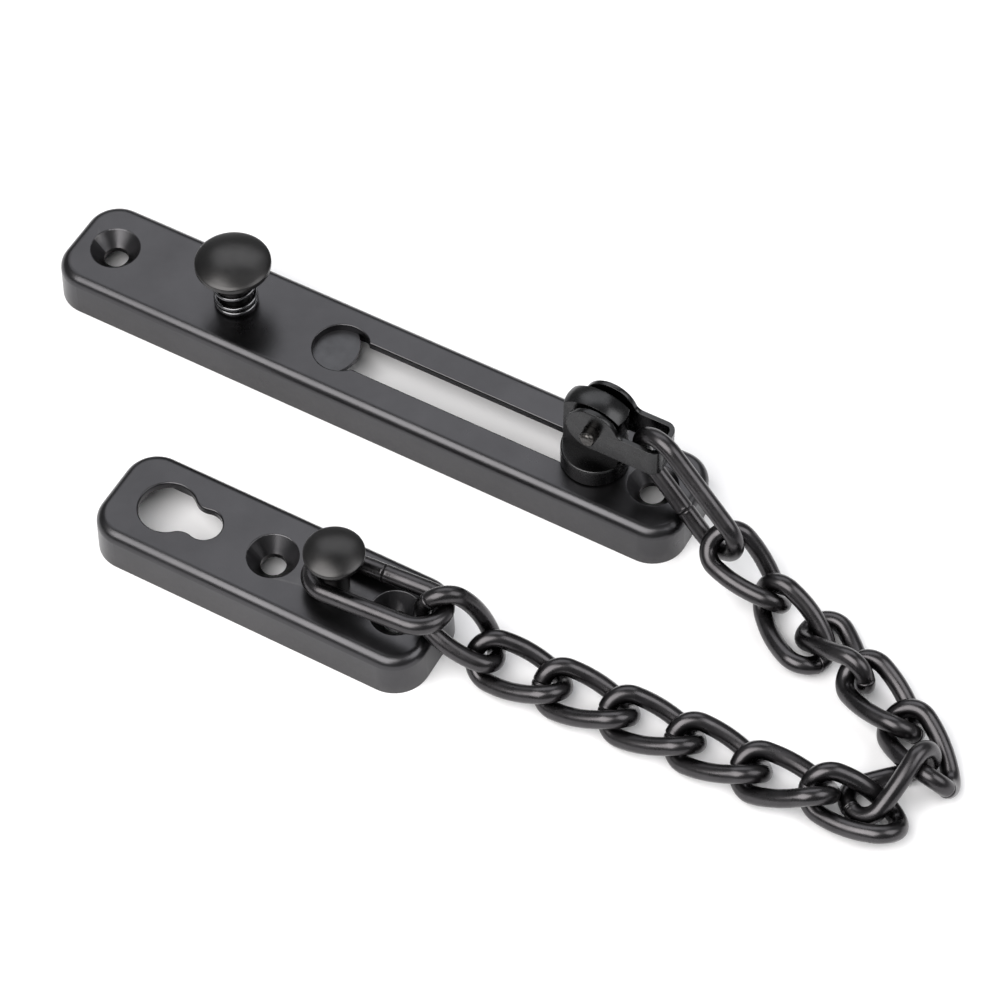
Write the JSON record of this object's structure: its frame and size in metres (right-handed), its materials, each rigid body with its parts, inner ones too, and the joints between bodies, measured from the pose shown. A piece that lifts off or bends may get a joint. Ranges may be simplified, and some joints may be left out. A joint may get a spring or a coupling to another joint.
{
  "type": "door chain guard",
  "caption": "Door chain guard: a slotted track plate with a spring lock and slider, joined by a welded twisted-link chain to a keeper plate with a stud and a keyhole.",
  "frame": {"origin": "middle of the track plate's back, on the mounting surface", "axes": "+X along the track plate towards the closed end of the slot, +Y across it away from the keeper plate, +Z away from the mounting surface"},
  "size_m": [0.2411, 0.0827, 0.0335],
  "materials": {
    "plate_black": "satin black coating on pressed steel sheet",
    "cap_black": "satin black coating on a turned cap",
    "slider_black": "glossy black coating on turned and bent steel",
    "pin_black": "black coating, peened end",
    "chain_black": "glossy black coating on welded wire",
    "spring_steel": "dark oiled spring wire",
    "leaf_steel": "satin black coating on flat sheet"
  },
  "bodies": {
    "track_plate": {"track_plate": "plate_black"},
    "lock": {"lock_button": "cap_black", "lock_leaf": "leaf_steel", "lock_spring": "spring_steel"},
    "slider_foot": {"slider_foot": "slider_black"},
    "slider_post": {"slider_post": "slider_black"},
    "shackle": {"shackle": "slider_black", "swivel_pin": "pin_black"},
    "slider_long_link": {"slider_long_link": "chain_black"},
    "chain_link_13": {"chain_link_13": "chain_black"},
    "chain_link_12": {"chain_link_12": "chain_black"},
    "chain_link_11": {"chain_link_11": "chain_black"},
    "chain_link_10": {"chain_link_10": "chain_black"},
    "chain_link_09": {"chain_link_09": "chain_black"},
    "chain_link_08": {"chain_link_08": "chain_black"},
    "chain_link_07": {"chain_link_07": "chain_black"},
    "chain_link_06": {"chain_link_06": "chain_black"},
    "chain_link_05": {"chain_link_05": "chain_black"},
    "chain_link_04": {"chain_link_04": "chain_black"},
    "chain_link_03": {"chain_link_03": "chain_black"},
    "chain_link_02": {"chain_link_02": "chain_black"},
    "chain_link_01": {"chain_link_01": "chain_black"},
    "stud_long_link": {"stud_long_link": "chain_black"},
    "keeper": {"keeper_stud": "cap_black", "keeper_plate": "plate_black"}
  },
  "joints": [
    {"name": "lock_press", "type": "slide", "parent": "track_plate", "child": "lock", "axis": [0, 0, -1], "range_m": [0, 0.003], "stiffness_N_per_m": 300, "springref_m": -0.006, "deforming": ["lock_spring"]},
    {"name": "slider_slide", "type": "slide", "parent": "track_plate", "child": "slider_foot", "axis": [1, 0, 0], "range_m": [-0.0545, 0]},
    {"name": "slider_swivel", "type": "hinge", "parent": "slider_foot", "child": "slider_post", "pos_m": [0.0556, 0, 0.0165], "axis": [0, 0, 1], "range_deg": [-10, 90]},
    {"name": "shackle_tilt", "type": "hinge", "parent": "slider_post", "child": "shackle", "pos_m": [0.057, 0, 0.0272], "axis": [0, -1, 0], "range_deg": [0, 90]},
    {"name": "slider_link_lift", "type": "hinge", "parent": "shackle", "child": "slider_long_link", "pos_m": [0.07275, -0.0023, 0.02498], "axis": [-0.2867, -0.957, -0.0434], "range_deg": [0, 45]},
    {"name": "link_13_turn", "type": "hinge", "parent": "slider_long_link", "child": "chain_link_13", "pos_m": [0.09325, -0.00779, 0.01066], "axis": [0.5259, -0.1951, 0.8279], "range_deg": [-10, 12]},
    {"name": "link_12_turn", "type": "hinge", "parent": "chain_link_13", "child": "chain_link_12", "pos_m": [0.10747, -0.01107, 0.00498], "axis": [-0.2073, 0.6009, -0.772], "range_deg": [-2, 14]},
    {"name": "link_11_turn", "type": "hinge", "parent": "chain_link_12", "child": "chain_link_11", "pos_m": [0.12036, -0.0201, 0.00291], "axis": [-0.3917, -0.8519, 0.3477], "range_deg": [0, 40]},
    {"name": "link_10_turn", "type": "hinge", "parent": "chain_link_11", "child": "chain_link_10", "pos_m": [0.13204, -0.02142, 0.00777], "axis": [0.2453, -0.0969, -0.9646], "range_deg": [-25, 2]},
    {"name": "link_09_turn", "type": "hinge", "parent": "chain_link_10", "child": "chain_link_09", "pos_m": [0.14625, -0.02741, 0.00504], "axis": [-0.2124, -0.5023, 0.8382], "range_deg": [-8, 16]},
    {"name": "link_08_turn", "type": "hinge", "parent": "chain_link_09", "child": "chain_link_08", "pos_m": [0.15227, -0.03208, 0.00867], "axis": [0.3066, 0.1153, -0.9448], "range_deg": [-40, 2]},
    {"name": "link_07_turn", "type": "hinge", "parent": "chain_link_08", "child": "chain_link_07", "pos_m": [0.14233, -0.04932, 0.00333], "axis": [0.861, -0.5075, 0.0337], "range_deg": [-4, 6]},
    {"name": "link_06_turn", "type": "hinge", "parent": "chain_link_07", "child": "chain_link_06", "pos_m": [0.13274, -0.04993, 0.00681], "axis": [-0.1134, -0.4761, -0.8721], "range_deg": [-14, 20]},
    {"name": "link_05_turn", "type": "hinge", "parent": "chain_link_06", "child": "chain_link_05", "pos_m": [0.11744, -0.05173, 0.00419], "axis": [-0.1499, 0.6751, 0.7223], "range_deg": [-12, 35]},
    {"name": "link_04_turn", "type": "hinge", "parent": "chain_link_05", "child": "chain_link_04", "pos_m": [0.1021, -0.05168, 0.00452], "axis": [0.0246, -0.6688, -0.743], "range_deg": [-24, 22]},
    {"name": "link_03_turn", "type": "hinge", "parent": "chain_link_04", "child": "chain_link_03", "pos_m": [0.08682, -0.05282, 0.0047], "axis": [-0.0448, 0.6412, 0.766], "range_deg": [-22, 15]},
    {"name": "link_02_turn", "type": "hinge", "parent": "chain_link_03", "child": "chain_link_02", "pos_m": [0.07143, -0.05352, 0.00488], "axis": [0.0292, -0.6151, -0.7879], "range_deg": [-10, 13]},
    {"name": "link_01_turn", "type": "hinge", "parent": "chain_link_02", "child": "chain_link_01", "pos_m": [0.05576, -0.0547, 0.00602], "axis": [0.0185, 0.4883, 0.8725], "range_deg": [-4, 45]},
    {"name": "stud_link_turn", "type": "hinge", "parent": "chain_link_01", "child": "stud_long_link", "pos_m": [0.04874, -0.05613, 0.01668], "axis": [0.0026, 0.9746, -0.2241], "range_deg": [-10, 12]},
    {"name": "keeper_turn", "type": "hinge", "parent": "stud_long_link", "child": "keeper", "pos_m": [0.0228, -0.0567, 0.0165], "axis": [0, 0, 1], "range_deg": [-30, 60]}
  ],
  "couplings": [
    {"joint": "shackle_tilt", "follows": "slider_slide", "rad_per_m": -28.82}
  ]
}
